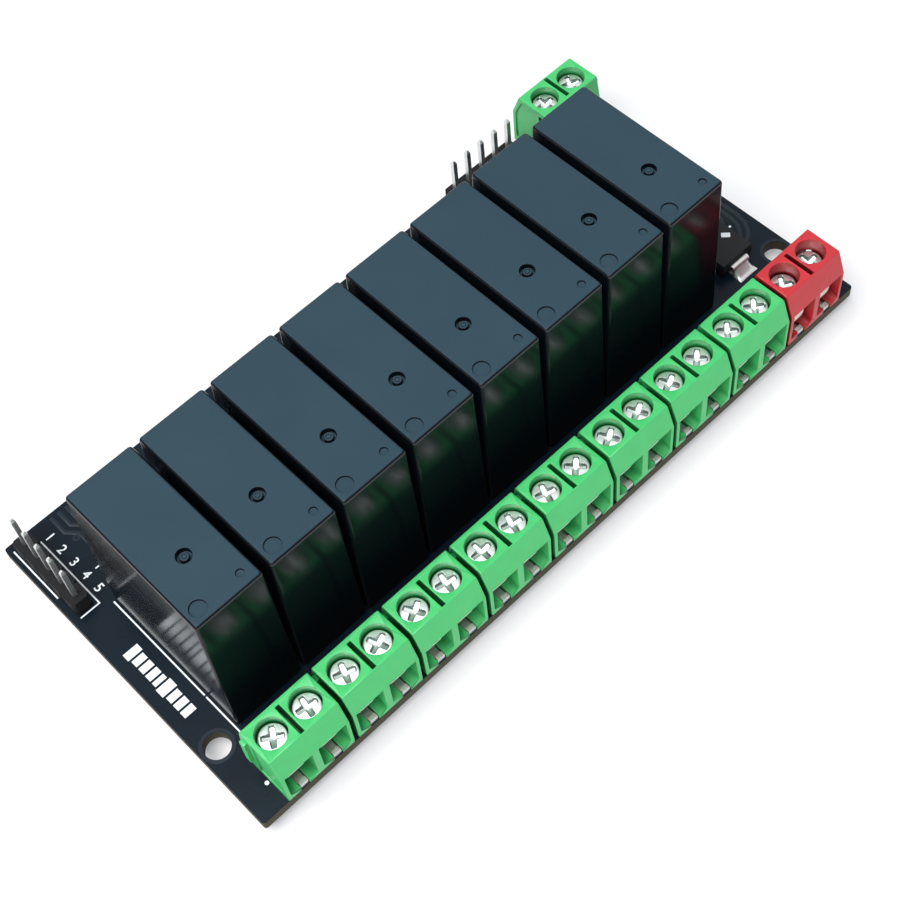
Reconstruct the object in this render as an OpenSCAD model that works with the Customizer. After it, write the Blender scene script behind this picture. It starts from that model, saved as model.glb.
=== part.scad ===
// Eight-channel relay module board.
// The long edge runs along X, the row of screw terminals faces -Y and +Z is up.
// The origin is the centre of the footprint, at the level of the lowest pin tips.

/* [Board] */
// Strip of board beyond the last relay
end_w = 14.55; // [13:0.05:24]
// Strip of board behind the relays
back_w = 15.5; // [13.9:0.1:22]
// Thickness of the board
board_t = 1.6; // [1:0.1:2.4]
// Corner radius of the board
board_r = 0.4; // [0.2:0.1:2]
// Mounting hole diameter
hole_d = 3.4; // [2.4:0.1:3.6]
// Mounting hole centre, in from the short edge
hole_in = 2.3; // [2.1:0.1:3]
// Mounting hole centre, in from the near long edge
hole_y = 11.05; // [10.5:0.05:13]
// Length of the longest pins below the board
pin_tip = 2; // [1.4:0.1:3]

/* [Relays] */
// Number of relays, each with its own screw terminal
relay_n = 8; // [6:1:8]
// Centre of the first relay, in from the short edge
relay_x = 10.65; // [10:0.05:12]
// Gap between two relays at their feet
relay_gap = 0.4; // [0.2:0.05:0.8]
// How much closer the relays stand than the terminals
relay_less = 0.38; // [0:0.01:0.6]
// Centre of the relay row, in from the near long edge
relay_y = 23.05; // [22.5:0.05:26]
// Relay length at its foot
relay_l = 23.7; // [20:0.1:24.2]
// Relay height above the board
relay_h = 25; // [14:0.5:30]
// Draft: how far each side leans in over the height
relay_draft = 0.3; // [0.1:0.05:0.5]
// Radius of the edges round the relay's top
relay_r = 0.4; // [0.2:0.05:0.8]
// Wall of the relay cover at its open foot
relay_wall = 0.9; // [0.6:0.1:1.2]
// Gap between the cover's rim and the board
rim_gap = 0.3; // [0.1:0.05:0.6]
// Thickness of the relay's base plate
base_t = 2; // [1:0.1:3]
// Depth of the base plate inside the cover's rim
base_in = 0.4; // [0.2:0.1:1]
// Diameter of the moulding gate's recess
gate_d = 1.9; // [1.2:0.1:2.6]
// Depth of the moulding gate's recess
gate_deep = 0.75; // [0.2:0.05:0.8]
// Gate centre, towards the terminals from the relay's centre
gate_y = 3.8; // [2:0.1:5]
// Diameter of the larger ejector mark
mark_d = 2.2; // [1.4:0.1:2.6]
// Diameter of the smaller ejector mark
spot_d = 1.1; // [0.8:0.1:1.6]
// Depth of the ejector marks
mark_deep = 0.12; // [0.05:0.01:0.3]
// Ejector mark centres, in from the top's near edge
mark_in = 1.8; // [1.4:0.1:3]

/* [Screw terminals] */
// Spacing of the two poles of a terminal
pole_pitch = 5.08; // [5:0.01:5.12]
// Pole centre, in from the end of the block
pole_in = 2.54; // [2.4:0.01:2.6]
// First pole of the first terminal, in from the short edge
term_x = 6.4; // [4.5:0.05:7.5]
// Gap between two terminals
term_gap = 0.62; // [0.6:0.01:0.9]
// Gap between the last output terminal and the supply terminal
supply_gap = 0.5; // [0.3:0.05:1]
// Height of a terminal above the board
term_h = 9.2; // [8.8:0.1:10.2]
// Depth of the terminal at its foot
term_foot = 7.4; // [7.2:0.1:8]
// Depth of the flat top
term_top = 5.2; // [5:0.1:5.5]
// Setback of the flat top behind the front face
term_back = 1.3; // [1.1:0.1:1.6]
// Height of the upright front face
front_h = 5.8; // [5.4:0.1:6.2]
// Diameter of the screw holes in the top
screw_hole_d = 3.9; // [3.7:0.05:4.1]
// Screw axis, behind the front face
screw_y = 3.9; // [3.7:0.05:4.1]
// Width of the wire openings
open_w = 4.1; // [3.8:0.05:4.3]
// Height of the sill below the wire openings
sill_h = 1; // [0.8:0.1:1.4]
// Width of the channel in the sill
channel_w = 1.3; // [1:0.05:1.6]
// Slot between the poles: width
slot_w = 0.6; // [0.3:0.05:0.7]
// Slot between the poles: depth
slot_deep = 2.4; // [1:0.1:3]
// Interlocking rib on the end face: reach
rib_out = 0.5; // [0.3:0.05:0.55]
// Interlocking rib on the end face: mean width
rib_w = 1; // [0.8:0.05:1.2]
// Width of the clamp block
clamp_w = 3.1; // [2.9:0.05:3.9]
// Clamp block's front, behind the front face
clamp_in = 1.2; // [1:0.1:1.6]
// Height of the clamp block
clamp_h = 3.9; // [3:0.1:4.2]
// Screw head diameter
head_d = 3.5; // [3:0.05:3.6]
// Screw head height
head_h = 1.4; // [1.2:0.1:1.6]
// Depth of the screw heads below the top, output terminals
head_deep = 1.1; // [0.9:0.1:1.4]
// Extra depth of the screws and clamps of the supply terminal
supply_drop = 0.9; // [0:0.1:1]
// Diameter of the screw shank
shank_d = 2.5; // [2:0.05:2.9]
// Radial clearance of the shank in the clamp
shank_clear = 0.08; // [0.02:0.01:0.15]
// Overhang of the far terminal beyond the board
aux_over = 0.8; // [0:0.1:1.5]
// First pole of the far terminal, in from the far short edge
aux_in = 9.4; // [9:0.1:10]

/* [Pin headers] */
// Number of pins in each header
header_n = 5; // [2:1:5]
// Spacing of the pins
header_pitch = 2.54; // [2:0.01:2.54]
// Side of the square pins
pin_w = 0.64; // [0.5:0.01:0.7]
// Height of the plastic strip
strip_h = 2.54; // [2:0.01:3]
// Width of the plastic strip
strip_w = 2.5; // [2:0.01:2.54]
// Height of the pin tips above the board
pin_h = 8.54; // [6:0.01:11]
// Input header: centre in from the short edge
in_x = 2.2; // [1.9:0.05:3]
// Input header: middle pin, in from the far long edge
in_y = 7.85; // [7.5:0.05:9]
// Output header: middle pin, in from the far short edge
out_x = 20.4; // [19.5:0.1:22]
// Output header: centre in from the far long edge
out_y = 1.6; // [1.4:0.05:3]

/* [Small parts] */
// Supply diode: body length along Y
diode_l = 6.9; // [5:0.1:7.2]
// Supply diode: body width
diode_w = 5.8; // [4:0.1:6]
// Supply diode: body height
diode_h = 2.1; // [1.6:0.1:2.6]
// Supply diode: centre in from the far short edge
diode_x = 7.8; // [7.4:0.1:8.2]
// Supply diode: centre in from the near long edge
diode_y = 16.6; // [16:0.1:20]
// Lead width of the supply diode
diode_lead = 3; // [2:0.1:3.4]
// Sheet thickness of the diode and chip leads
lead_t = 0.25; // [0.15:0.01:0.3]
// Row of the lamps and resistors, beyond the relays
lamp_row = 2.3; // [1.2:0.1:3]
// Row of the two chips, beyond the row of lamps
chip_row = 5.6; // [5.2:0.1:6.4]
// Length of a lamp, a resistor or a capacitor
bit_l = 2; // [1.6:0.1:2.4]
// Width of a lamp, a resistor or a capacitor
bit_w = 1.24; // [0.8:0.02:1.6]
// Lamp and resistor centres, to each side of their relay's centre
bit_x = 1.9; // [1.4:0.1:2.6]
// Shift register: body length
register_l = 9.9; // [9.6:0.1:10.5]
// Shift register: body width
register_w = 3.9; // [3.5:0.1:4.5]
// Shift register: body height
register_h = 1.4; // [1.2:0.1:1.8]
// Shift register: centre, beyond the first relay's centre
register_x = 13.35; // [11:0.05:15]
// Driver: body length
driver_l = 11.5; // [11.2:0.1:12.5]
// Driver: body width
driver_w = 7.4; // [6.6:0.1:7.6]
// Driver: body height
driver_h = 2.1; // [1.8:0.1:2.6]
// Driver: centre, beyond the first relay's centre
driver_x = 35.35; // [33:0.05:37]
// Spacing of the chip leads
chip_pitch = 1.27; // [1.2:0.01:1.3]

/* [Hidden] */
$fn = 48;
e = 0.01;
over = 1;

// Derived sizes
block_w = pole_pitch + 2 * pole_in;
term_pitch = block_w + term_gap;
relay_pitch = term_pitch - relay_less;
relay_w = relay_pitch - relay_gap;
board_l = relay_x + (relay_n - 1) * relay_pitch + relay_w / 2 + end_w;
board_w = relay_y + relay_l / 2 + back_w;
lamp_y = relay_y + relay_l / 2 + lamp_row;
chip_y = lamp_y + chip_row;
relay_top_w = relay_w - 2 * relay_draft;
relay_top_l = relay_l - 2 * relay_draft;
supply_x = term_x + (relay_n - 1) * term_pitch + block_w + supply_gap;
aux_x = board_l - aux_in;
far_over = max(0, aux_over);
total_w = board_w + far_over;
chamber_y0 = 0.9;
back_wall = 1.2;
chamber_y1 = term_foot - back_wall;
clamp_back = 0.1;
clamp_gap = 0.1;
clamp_top = term_h - head_deep - head_h - clamp_gap;
clamp_air = 0.4;
chamber_top = clamp_top + clamp_air;
clamp_r = 0.7;
shank_end = 0.4;
rib_back = 0.8;
rib_down = 1;
rib_y = term_back + term_top - rib_back;
rib_z0 = 3.3;
rib_z1 = term_h - rib_down;
rib_taper = 0.15;
groove_clear = 0.1;
end_recess = 0.2;
panel_in = 0.6;
foot_lean = 0.1;
slot_in = 0.15;
contact_clear = 0.1;
contact_w = channel_w - 2 * contact_clear;
contact_t = 0.4;
contact_in = 0.15;
lip_t = 0.6;
leg_t = 0.8;
edge_h = 0.3;
edge_in = 0.35;
recess_l = 2.52;
recess_w = 0.7;
recess_h = 0.75;
recess_turn = 35;
coil_pin_d = 0.8;
coil_pin_x = 3.5;
coil_pin_y = 9;
contact_pin_x = 2.5;
contact_pin_y = -9;
contact_pin_w = 1.2;
contact_pin_t = 0.6;
slim_hole_d = 1.1;
wide_hole_d = 1.5;
tip_step = 0.15;
solder_h = 0.9;
solder_lean = 0.62;
coil_solder_r = 0.95;
wide_solder_r = 1.25;
pin_solder_r = 0.9;
pin_taper = 0.5;
tip_share = 0.2;
strip_cut = 0.35;
gate_post = 0.6;
post_drop = 0.1;
base_foot = 1.2;
lift = 0.3;
diode_lean = 0.15;
bend_r = 0.6;
bend_reach = 0.75;
diode_foot = 1.2;
chip_lean = 0.18;
chip_lead_w = 0.42;
chip_reach = 1.15;
knee_x = 0.3;
knee_drop = 0.15;
knee_t = 0.17;
dot_d = 0.8;
dot_in = 1.1;
dot_deep = 0.12;
bit_cap = 0.4;
bit_inset = 0.04;
resistor_h = 0.5;
lamp_base_h = 0.35;
lamp_lens_l = 1.2;
lamp_lens_h = 0.45;
capacitor_h = 0.9;
capacitor_gap = 2.4;

// Chips with two rows of leads: [leads in a row, body length, body width, body height, centre x]
REGISTER = [8, register_l, register_w, register_h, relay_x + register_x];
DRIVER = [9, driver_l, driver_w, driver_h, relay_x + driver_x];

// Places that several pieces share, as [x, y] on the board
relay_at = [for (i = [0:relay_n - 1]) [relay_x + i * relay_pitch, relay_y]];
coil_pins = [for (p = relay_at, s = [-1, 1]) p + [s * coil_pin_x, coil_pin_y]];
contact_pins = [for (p = relay_at, s = [-1, 1]) p + [s * contact_pin_x, contact_pin_y]];
near_x = concat([for (i = [0:relay_n - 1]) term_x + i * term_pitch], [supply_x]);
near_legs = [for (x = near_x, k = [0, 1]) [x + k * pole_pitch, screw_y]];
aux_legs = [for (k = [0, 1]) [aux_x + k * pole_pitch, total_w - screw_y]];
leg_at = concat(near_legs, aux_legs);
mid_pin = (header_n - 1) / 2;
in_pins = [for (k = [0:header_n - 1]) [in_x, board_w - in_y + (k - mid_pin) * header_pitch]];
out_pins = [for (k = [0:header_n - 1])
            [board_l - out_x + (k - mid_pin) * header_pitch, board_w - out_y]];

RELAYS = [for (i = [1:relay_n]) str("relay_", i)];
TERMINALS = concat([for (i = [1:relay_n]) str("terminal_", i)], ["terminal_supply", "terminal_aux"]);

BLACK = [0.10, 0.11, 0.13];
SLATE = [0.22, 0.28, 0.33];
GREEN = [0.30, 0.85, 0.45];
RED = [0.80, 0.18, 0.20];
SILVER = [0.80, 0.81, 0.82];
TIN = [0.72, 0.73, 0.74];
CREAM = [0.95, 0.95, 0.85];
TAN = [0.72, 0.58, 0.42];

// ---------- frame ----------

// Moves a piece from the board's near left corner to the shared origin
module on_board(z = board_t) {
  translate([-board_l / 2, -total_w / 2, pin_tip + z]) children();
}

// Extrudes a YZ outline along X
module along_x(l) {
  rotate([90, 0, 90]) linear_extrude(l) children();
}

// Extrudes an XZ outline along +Y
module along_y(l) {
  translate([0, l, 0]) rotate([90, 0, 0]) linear_extrude(l) children();
}

// ---------- board ----------

module board_outline() {
  for (x = [board_r, board_l - board_r], y = [board_r, board_w - board_r])
    translate([x, y]) circle(board_r);
  translate([board_r, 0]) square([board_l - 2 * board_r, board_w]);
  translate([0, board_r]) square([board_l, board_w - 2 * board_r]);
}

module board() {
  color(BLACK) on_board(0) linear_extrude(board_t) difference() {
    board_outline();
    for (x = [hole_in, board_l - hole_in]) translate([x, hole_y]) circle(d = hole_d);
    for (p = concat(coil_pins, in_pins, out_pins)) translate(p) circle(d = slim_hole_d);
    for (p = concat(contact_pins, leg_at)) translate(p) circle(d = wide_hole_d);
  }
}

// ---------- relays ----------

// Side outline of a relay cover: leaning sides and round upper edges
module cover_outline(foot, top) {
  flat = top / 2 - relay_r;
  polygon([[-foot / 2, rim_gap], [foot / 2, rim_gap], [top / 2, relay_h - relay_r],
           [flat, relay_h], [-flat, relay_h], [-top / 2, relay_h - relay_r]]);
  for (s = [-1, 1]) translate([s * flat, relay_h - relay_r]) circle(relay_r);
}

module relay_cover(i) {
  near = -relay_top_l / 2 + mark_in;
  side = relay_top_w / 2 - mark_in;
  pocket = base_in + base_t;
  color(SLATE) on_board() translate(relay_at[i]) difference() {
    intersection() {
      translate([0, -relay_l / 2, 0]) along_y(relay_l) cover_outline(relay_w, relay_top_w);
      translate([-relay_w / 2, 0, 0]) along_x(relay_w) cover_outline(relay_l, relay_top_l);
    }
    translate([-relay_w / 2 + relay_wall, -relay_l / 2 + relay_wall, rim_gap - over])
      cube([relay_w - 2 * relay_wall, relay_l - 2 * relay_wall, pocket + over]);
    translate([0, -gate_y, relay_h - gate_deep]) difference() {
      cylinder(d = gate_d, h = gate_deep + over);
      translate([0, 0, -e]) cylinder(d = gate_d * gate_post, h = gate_deep - post_drop + e);
    }
    translate([-side, near, relay_h - mark_deep]) cylinder(d = mark_d, h = over);
    translate([side, near, relay_h - mark_deep]) cylinder(d = spot_d, h = over);
  }
}

// Base plate that closes the cover, with four feet that stand on the board
module relay_base(i) {
  w = relay_w - 2 * relay_wall;
  l = relay_l - 2 * relay_wall;
  under = rim_gap + base_in;
  foot_y = coil_pin_y / 2;
  color(BLACK) on_board() translate(relay_at[i]) {
    translate([-w / 2, -l / 2, under]) cube([w, l, base_t]);
    for (sx = [-1, 1], sy = [-1, 1])
      translate([sx * (w - base_foot) / 2 - base_foot / 2, sy * foot_y - base_foot / 2, 0])
        cube([base_foot, base_foot, under + e]);
  }
}

// Round coil pins at the far end and flat contact pins at the near end
module relay_pins() {
  under = rim_gap + base_in;
  len = under + board_t + pin_tip;
  color(TIN) on_board() {
    for (p = coil_pins) translate([p[0], p[1], under - len]) cylinder(d = coil_pin_d, h = len);
    for (p = contact_pins)
      translate([p[0] - contact_pin_w / 2, p[1] - contact_pin_t / 2, under - len])
        cube([contact_pin_w, contact_pin_t, len]);
  }
}

// ---------- screw terminals ----------

// Dovetail shared by the rib on one end face and the groove in the other
module dovetail(reach, grow = 0) {
  root = rib_w / 2 - rib_taper + grow;
  crest = rib_w / 2 + grow;
  polygon([[over, -root], [0, -root], [-reach, -crest], [-reach, crest], [0, root], [over, root]]);
}

module end_panel() {
  y0 = panel_in;
  y1 = term_back + panel_in;
  y2 = rib_y - rib_w;
  z1 = term_h - panel_in;
  polygon([[y0, sill_h], [y0, front_h], [y1, z1], [y2, z1], [y2, sill_h]]);
}

module pole_space(x) {
  translate([x - open_w / 2, 0, 0]) {
    translate([0, -over, sill_h]) cube([open_w, chamber_y1 + over, front_h - sill_h]);
    translate([0, chamber_y0, front_h - e])
      cube([open_w, chamber_y1 - chamber_y0, chamber_top - front_h + e]);
  }
  translate([x - channel_w / 2, -over, -over]) cube([channel_w, chamber_y1 + over, sill_h + over + e]);
  translate([x, screw_y, chamber_top - e]) cylinder(d = screw_hole_d, h = term_h);
}

// Two-pole block with its front face at y = 0 and its left end at x = 0
module housing_shape() {
  top_y = term_back + term_top;
  slot_l = term_top - back_wall / 2 - slot_in;
  difference() {
    union() {
      along_x(block_w) polygon([[0, 0], [0, front_h], [term_back, term_h], [top_y, term_h],
                                [term_foot - foot_lean, term_h / 2], [term_foot, front_h / 2],
                                [term_foot, 0]]);
      translate([0, rib_y, rib_z0]) linear_extrude(rib_z1 - rib_z0) dovetail(rib_out);
    }
    for (k = [0, 1]) pole_space(pole_in + k * pole_pitch);
    translate([block_w, rib_y, rib_z0 - groove_clear])
      linear_extrude(rib_z1 - rib_z0 + 2 * groove_clear)
        dovetail(rib_out + groove_clear, groove_clear);
    translate([block_w / 2 - slot_w / 2, term_back + slot_in, term_h - slot_deep])
      cube([slot_w, slot_l, slot_deep + over]);
    translate([-over, 0, 0]) along_x(over + end_recess) end_panel();
    translate([block_w - end_recess, 0, 0]) along_x(over + end_recess) end_panel();
  }
}

// One pole's clamp block, with the hole that its screw runs in
module clamp_shape(drop) {
  low = clamp_top - clamp_h - drop;
  translate([0, 0, low]) difference() {
    translate([0, clamp_in, 0]) along_y(chamber_y1 - clamp_back - clamp_in) {
      for (s = [-1, 1]) translate([s * (clamp_w / 2 - clamp_r), clamp_r]) circle(clamp_r);
      translate([-clamp_w / 2, clamp_r]) square([clamp_w, clamp_h - clamp_r]);
      translate([-clamp_w / 2 + clamp_r, 0]) square([clamp_w - 2 * clamp_r, clamp_h]);
    }
    translate([0, screw_y, -over]) cylinder(d = shank_d + 2 * shank_clear, h = clamp_h + 2 * over);
  }
}

// Pan head screw with a cross recess
module screw_shape(drop) {
  top = term_h - head_deep - drop;
  translate([0, screw_y, top - head_h]) {
    difference() {
      union() {
        cylinder(d = head_d, h = head_h - edge_h);
        translate([0, 0, head_h - edge_h])
          cylinder(d1 = head_d, d2 = head_d - 2 * edge_in, h = edge_h);
      }
      for (a = [0, 90]) rotate(a + recess_turn)
        translate([-recess_l / 2, -recess_w / 2, head_h - recess_h])
          cube([recess_l, recess_w, over + recess_h]);
    }
    translate([0, 0, -(clamp_h - shank_end)]) cylinder(d = shank_d, h = clamp_h - shank_end + e);
  }
}

// Contact strip in the channel of the sill, with its upturned lip and its solder leg
module contact_shape() {
  len = board_t + pin_tip - tip_step;
  strip_l = chamber_y1 - 3 * contact_in;
  translate([-contact_w / 2, contact_in, 0]) cube([contact_w, strip_l, contact_t]);
  translate([-contact_w / 2, contact_in, 0]) cube([contact_w, lip_t, sill_h - contact_clear]);
  translate([-contact_w / 2, screw_y - leg_t / 2, -len]) cube([contact_w, leg_t, len + e]);
}

// Places a terminal by the name's position in TERMINALS; the last one faces the far edge
module at_terminal(i) {
  if (i <= relay_n) on_board() translate([near_x[i] - pole_in, 0, 0]) children();
  else on_board() translate([aux_x + pole_pitch + pole_in, total_w, 0]) rotate(180) children();
}

module terminal_housing(i) {
  color(i == relay_n ? RED : GREEN) at_terminal(i) housing_shape();
}

module terminal_clamps(i) {
  color(SILVER) at_terminal(i) for (k = [0, 1])
    translate([pole_in + k * pole_pitch, 0, 0]) clamp_shape(i == relay_n ? supply_drop : 0);
}

module terminal_screws() {
  color(SILVER) for (i = [0:relay_n + 1]) at_terminal(i) for (k = [0, 1])
    translate([pole_in + k * pole_pitch, 0, 0]) screw_shape(i == relay_n ? supply_drop : 0);
}

module terminal_contacts() {
  color(TIN) for (i = [0:relay_n + 1]) at_terminal(i) for (k = [0, 1])
    translate([pole_in + k * pole_pitch, 0, 0]) contact_shape();
}

// ---------- pin headers ----------

module header_strip(pins, turn) {
  a = header_pitch / 2;
  b = strip_w / 2;
  c = strip_cut;
  color(BLACK) on_board() linear_extrude(strip_h) difference() {
    for (p = pins) translate(p) rotate(turn)
      polygon([[-a, -b + c], [-a + c, -b], [a - c, -b], [a, -b + c],
               [a, b - c], [a - c, b], [-a + c, b], [-a, b - c]]);
    for (p = pins) translate(p) square(pin_w, center = true);
  }
}

// Outline of a square pin with both tips tapered
module pin_outline(low, high) {
  a = pin_w / 2;
  t = pin_w * tip_share;
  polygon([[-t, low], [t, low], [a, low + pin_taper], [a, high - pin_taper],
           [t, high], [-t, high], [-a, high - pin_taper], [-a, low + pin_taper]]);
}

module header_pins(pins) {
  low = -board_t - pin_tip + 2 * tip_step;
  color(SILVER) on_board() for (p = pins) translate(p) intersection() {
    translate([0, -pin_w / 2, 0]) along_y(pin_w) pin_outline(low, pin_h);
    translate([-pin_w / 2, 0, 0]) along_x(pin_w) pin_outline(low, pin_h);
  }
}

// ---------- small parts ----------

// Body outline that is widest at the parting line, at half its height
module moulded_outline(w, h, lean) {
  polygon([[-w / 2 + lean, lift], [w / 2 - lean, lift], [w / 2, lift + h / 2],
           [w / 2 - lean, lift + h], [-w / 2 + lean, lift + h], [-w / 2, lift + h / 2]]);
}

module moulded_body(l, w, h, lean) {
  intersection() {
    translate([0, -w / 2, 0]) along_y(w) moulded_outline(l, h, lean);
    translate([-l / 2, 0, 0]) along_x(l) moulded_outline(w, h, lean);
  }
}

module at_diode() {
  on_board() translate([board_l - diode_x, diode_y, 0]) children();
}

module supply_diode_body() {
  color(BLACK) at_diode() rotate(90) moulded_body(diode_l, diode_w, diode_h, diode_lean);
}

// Bent lead: out of the body, round the corner, down and back under the body
module diode_lead_outline() {
  r = bend_r;
  reach = bend_reach;
  top = lift + diode_h / 2 + lead_t;
  translate([diode_l / 2, 0]) {
    translate([0, top - lead_t]) square([reach - r, lead_t]);
    translate([reach - r, top - r]) intersection() {
      difference() {
        circle(r);
        circle(r - lead_t);
      }
      square(r);
    }
    translate([reach - lead_t, 0]) square([lead_t, top - r]);
    translate([-diode_foot, 0]) square([diode_foot + reach, lead_t]);
  }
}

module supply_diode_leads() {
  color(SILVER) at_diode() for (a = [0, 180]) rotate(a)
    translate([-diode_lead / 2, 0, 0]) along_x(diode_lead) diode_lead_outline();
}

module at_chip(c) {
  on_board() translate([c[4], chip_y, 0]) children();
}

module chip_body(c) {
  color(BLACK) at_chip(c) difference() {
    moulded_body(c[1], c[2], c[3], chip_lean);
    translate([dot_in - c[1] / 2, dot_in - c[2] / 2, lift + c[3] - dot_deep])
      cylinder(d = dot_d, h = over);
  }
}

module chip_lead_outline(w, h) {
  mid = lift + h / 2;
  t = lead_t / 2;
  translate([w / 2, 0])
    polygon([[0, mid - t], [knee_x, mid - t], [knee_x + knee_drop, 0], [chip_reach, 0],
             [chip_reach, lead_t], [knee_x + knee_drop + knee_t, lead_t],
             [knee_x + knee_t, mid + t], [0, mid + t]]);
}

module chip_leads(c) {
  color(SILVER) at_chip(c) for (a = [0, 180], k = [0:c[0] - 1])
    rotate(a) translate([(k - (c[0] - 1) / 2) * chip_pitch - chip_lead_w / 2, 0, 0])
      along_x(chip_lead_w) chip_lead_outline(c[2], c[3]);
}

// Small chip part: a body between two metal end caps
module end_capped(h) {
  body_l = bit_l - 2 * bit_cap + 2 * e;
  body_w = bit_w - 2 * bit_inset;
  for (x = [-bit_l / 2, bit_l / 2 - bit_cap]) translate([x, -bit_w / 2, 0]) cube([bit_cap, bit_w, h]);
  translate([-body_l / 2, -body_w / 2, bit_inset]) cube([body_l, body_w, h - 1.5 * bit_inset]);
}

module chip_resistors() {
  color(BLACK) on_board() for (p = relay_at)
    translate([p[0] + bit_x, lamp_y, 0]) end_capped(resistor_h);
}

module status_lamps() {
  color(CREAM) on_board() for (p = relay_at) translate([p[0] - bit_x, lamp_y, 0]) {
    translate([-bit_l / 2, -bit_w / 2, 0]) cube([bit_l, bit_w, lamp_base_h]);
    translate([-lamp_lens_l / 2, -bit_w / 2, lamp_base_h - e]) cube([lamp_lens_l, bit_w, lamp_lens_h]);
  }
}

module chip_capacitors() {
  color(TAN) on_board() for (c = [REGISTER, DRIVER])
    translate([c[4] + c[1] / 2 + capacitor_gap, chip_y, 0]) rotate(90) end_capped(capacitor_h);
}

// Cone of solder under the board, round a pin whose outline is the child
module cone(p, r) {
  translate([p[0], p[1], -solder_h]) difference() {
    cylinder(r1 = r * solder_lean, r2 = r, h = solder_h);
    translate([0, 0, -over]) linear_extrude(solder_h + 2 * over) children();
  }
}

module solder_joints() {
  color(SILVER) on_board(0) {
    for (p = coil_pins) cone(p, coil_solder_r) circle(d = coil_pin_d);
    for (p = contact_pins) cone(p, wide_solder_r) square([contact_pin_w, contact_pin_t], center = true);
    for (p = leg_at) cone(p, wide_solder_r) square([contact_w, leg_t], center = true);
    for (p = concat(in_pins, out_pins)) cone(p, pin_solder_r) square(pin_w, center = true);
  }
}

// ---------- nodes ----------

board();
for (i = [0:relay_n - 1]) {
  relay_cover(i);
  relay_base(i);
}
relay_pins();
for (i = [0:relay_n + 1]) {
  terminal_housing(i);
  terminal_clamps(i);
}
terminal_screws();
terminal_contacts();
header_strip(in_pins, 90);  // input_header_strip
header_pins(in_pins);  // input_header_pins
header_strip(out_pins, 0);  // output_header_strip
header_pins(out_pins);  // output_header_pins
supply_diode_body();
supply_diode_leads();
chip_body(REGISTER);  // shift_register_body
chip_leads(REGISTER);  // shift_register_leads
chip_body(DRIVER);  // driver_body
chip_leads(DRIVER);  // driver_leads
chip_resistors();
status_lamps();
chip_capacitors();
solder_joints();
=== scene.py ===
# %% [markdown]
# # A relay module board
# Eight tall black relays stand in a row on a black circuit board, with a row of green screw terminals and one red
# supply terminal in front of them. The imported CAD model holds every part at its real size. This script gives the
# parts their finish: edges that catch the light, turned screws, printed marks, copper lanes and solder.
# The frame is loaded first and stays as it is; its box is kept.

# %% Load the imported model
import math

import bmesh
import bpy
import numpy as np
from mathutils import Matrix, Vector, geometry


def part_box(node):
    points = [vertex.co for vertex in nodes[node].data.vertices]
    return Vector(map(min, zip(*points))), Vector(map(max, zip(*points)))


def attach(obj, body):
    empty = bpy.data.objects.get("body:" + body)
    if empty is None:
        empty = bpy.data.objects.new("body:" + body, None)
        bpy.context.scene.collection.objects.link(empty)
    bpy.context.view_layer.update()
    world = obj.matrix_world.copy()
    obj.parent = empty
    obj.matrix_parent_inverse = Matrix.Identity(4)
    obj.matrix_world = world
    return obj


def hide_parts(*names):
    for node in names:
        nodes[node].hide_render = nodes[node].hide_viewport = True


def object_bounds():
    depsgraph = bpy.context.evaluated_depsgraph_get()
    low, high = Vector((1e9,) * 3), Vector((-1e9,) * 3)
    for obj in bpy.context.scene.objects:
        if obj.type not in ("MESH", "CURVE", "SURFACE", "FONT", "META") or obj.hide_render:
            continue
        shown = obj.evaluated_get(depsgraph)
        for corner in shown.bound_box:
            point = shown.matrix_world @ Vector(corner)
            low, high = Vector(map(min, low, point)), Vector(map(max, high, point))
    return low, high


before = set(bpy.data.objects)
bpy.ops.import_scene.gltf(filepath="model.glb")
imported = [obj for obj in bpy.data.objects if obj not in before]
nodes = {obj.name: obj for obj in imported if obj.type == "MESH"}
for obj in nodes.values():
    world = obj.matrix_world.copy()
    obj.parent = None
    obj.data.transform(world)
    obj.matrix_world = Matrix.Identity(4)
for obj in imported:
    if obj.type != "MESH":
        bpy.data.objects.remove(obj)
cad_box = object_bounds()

MM = 0.001
low, high = (np.array(corner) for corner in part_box("board"))
DECK = high[2]
TERMINALS = [name[:-8] for name in nodes if name.startswith("terminal_") and name.endswith("_housing")]
RELAYS = [name[:-6] for name in nodes if name.endswith("_cover")]
print("board", np.round((high - low) / MM, 2), "mm,", len(RELAYS), "relays,", len(TERMINALS), "terminals")


def on_board(x, y, z=0.0):
    """A place in metres, from millimetres along and across the board and above its upper face."""
    return np.array([low[0] + x * MM, low[1] + y * MM, DECK + z * MM])


# %% [markdown]
# ## The camera
# The board is seen from above its near left corner, with the camera turned a little about its own axis, so that the
# long edge runs steeply up the picture. Three angles say it all: the heading from +Y towards +X, how far the view
# dips, and the roll. A long lens keeps the eight relays nearly parallel.

# %% Place the camera
HEADING, DIP, ROLL = math.radians(37.06), math.radians(58.37), math.radians(-7.97)
EYE = Vector((-0.070157, -0.094450, 0.185195))
LENS, SENSOR = 67.29, 36.0

ahead = Vector((math.sin(HEADING) * math.cos(DIP), math.cos(HEADING) * math.cos(DIP), -math.sin(DIP)))
level = ahead.cross(Vector((0, 0, 1))).normalized()
upright = level.cross(ahead)
right = level * math.cos(ROLL) + upright * math.sin(ROLL)
up = right.cross(ahead)

lens = bpy.data.cameras.new("camera")
lens.lens = LENS
lens.sensor_width = SENSOR
lens.clip_start = 0.01
camera = bpy.data.objects.new("camera", lens)
bpy.context.collection.objects.link(camera)
turn = Matrix((right, up, -ahead)).transposed().to_4x4()
camera.matrix_world = Matrix.Translation(EYE) @ turn
bpy.context.scene.camera = camera
bpy.context.scene.view_settings.view_transform = "Standard"
print("camera looks along", [round(v, 3) for v in ahead])


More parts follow.
